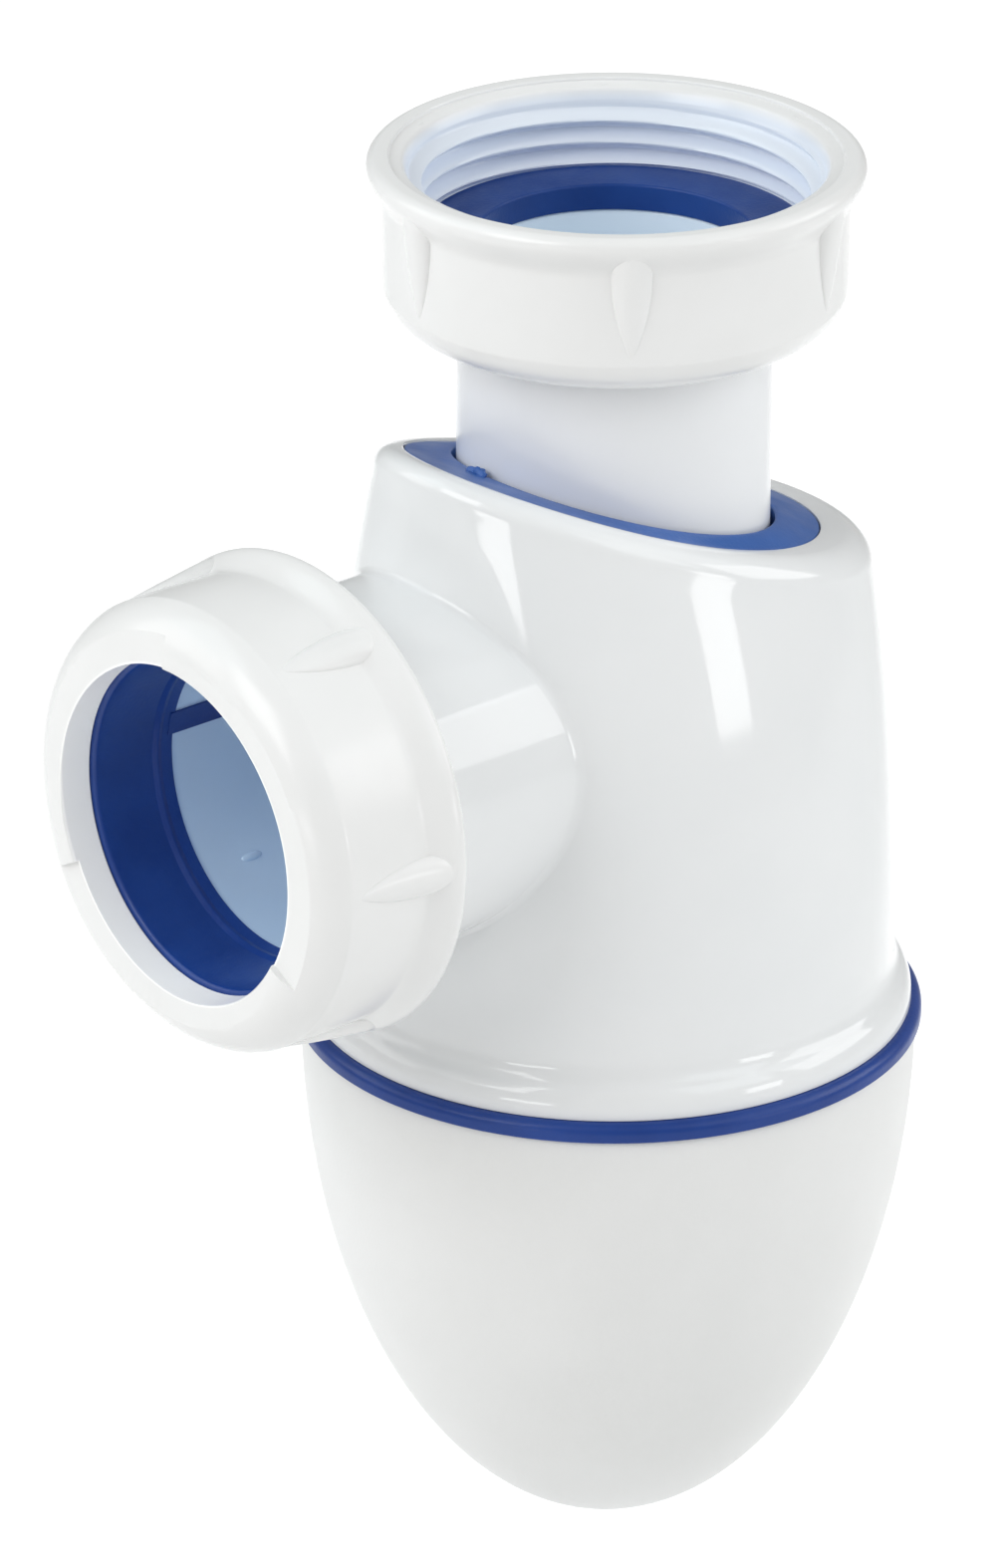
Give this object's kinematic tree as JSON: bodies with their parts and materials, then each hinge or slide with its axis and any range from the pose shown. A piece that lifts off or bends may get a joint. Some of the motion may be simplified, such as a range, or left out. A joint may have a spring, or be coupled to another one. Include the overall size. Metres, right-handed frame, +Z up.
{
  "type": "bottle trap",
  "caption": "Basin bottle trap with a telescopic threaded inlet, an unscrewing cup and a horizontal compression outlet.",
  "frame": {"origin": "centre of the inlet washer's upper face, at the foot of the inlet nut's thread", "axes": "+Z up along the inlet nut and tube, +X out of the outlet along its own level, +Y to complete a right-handed frame"},
  "size_m": [0.0911, 0.0654, 0.1518],
  "materials": {
    "body_white": "glossy moulded polypropylene",
    "nut_white": "satin-gloss moulded polypropylene",
    "tube_white": "smooth slightly translucent plastic",
    "cup_white": "semi-matte moulded polypropylene",
    "seal_blue": "matte moulded elastomer"
  },
  "bodies": {
    "inlet_nut": {"inlet_nut": "nut_white"},
    "inlet_tube": {"inlet_tube": "tube_white", "inlet_washer": "seal_blue"},
    "trap_body": {"body": "body_white", "top_seal": "seal_blue", "dip_sleeve": "tube_white"},
    "joint_ring": {"joint_ring": "seal_blue"},
    "cup": {"cup": "cup_white"},
    "outlet_seal": {"outlet_seal": "seal_blue"},
    "outlet_nut": {"outlet_nut": "nut_white"}
  },
  "joints": [
    {"name": "inlet_swivel", "type": "hinge", "parent": "inlet_nut", "child": "inlet_tube", "pos_m": [0, 0, 0], "axis": [0, 0, 1], "continuous": true},
    {"name": "height_slide", "type": "slide", "parent": "inlet_tube", "child": "trap_body", "axis": [0, 0, -1], "range_m": [-0.009, 0.04]},
    {"name": "cup_drop", "type": "slide", "parent": "trap_body", "child": "joint_ring", "axis": [0, 0, -1], "range_m": [0, 0.0101]},
    {"name": "cup_turn", "type": "hinge", "parent": "joint_ring", "child": "cup", "pos_m": [0, 0, -0.086], "axis": [0, 0, -1], "range_deg": [0, 900]},
    {"name": "outlet_seal_slide", "type": "slide", "parent": "trap_body", "child": "outlet_seal", "axis": [1, 0, 0], "range_m": [0, 0.007]},
    {"name": "outlet_nut_turn", "type": "hinge", "parent": "outlet_seal", "child": "outlet_nut", "pos_m": [0.0584, 0, -0.0493], "axis": [1, 0, 0], "range_deg": [0, 1080]}
  ],
  "couplings": [
    {"joint": "cup_drop", "follows": "cup_turn", "m_per_rad": 0.00063662},
    {"joint": "outlet_seal_slide", "follows": "outlet_nut_turn", "m_per_rad": 0.00036749}
  ]
}
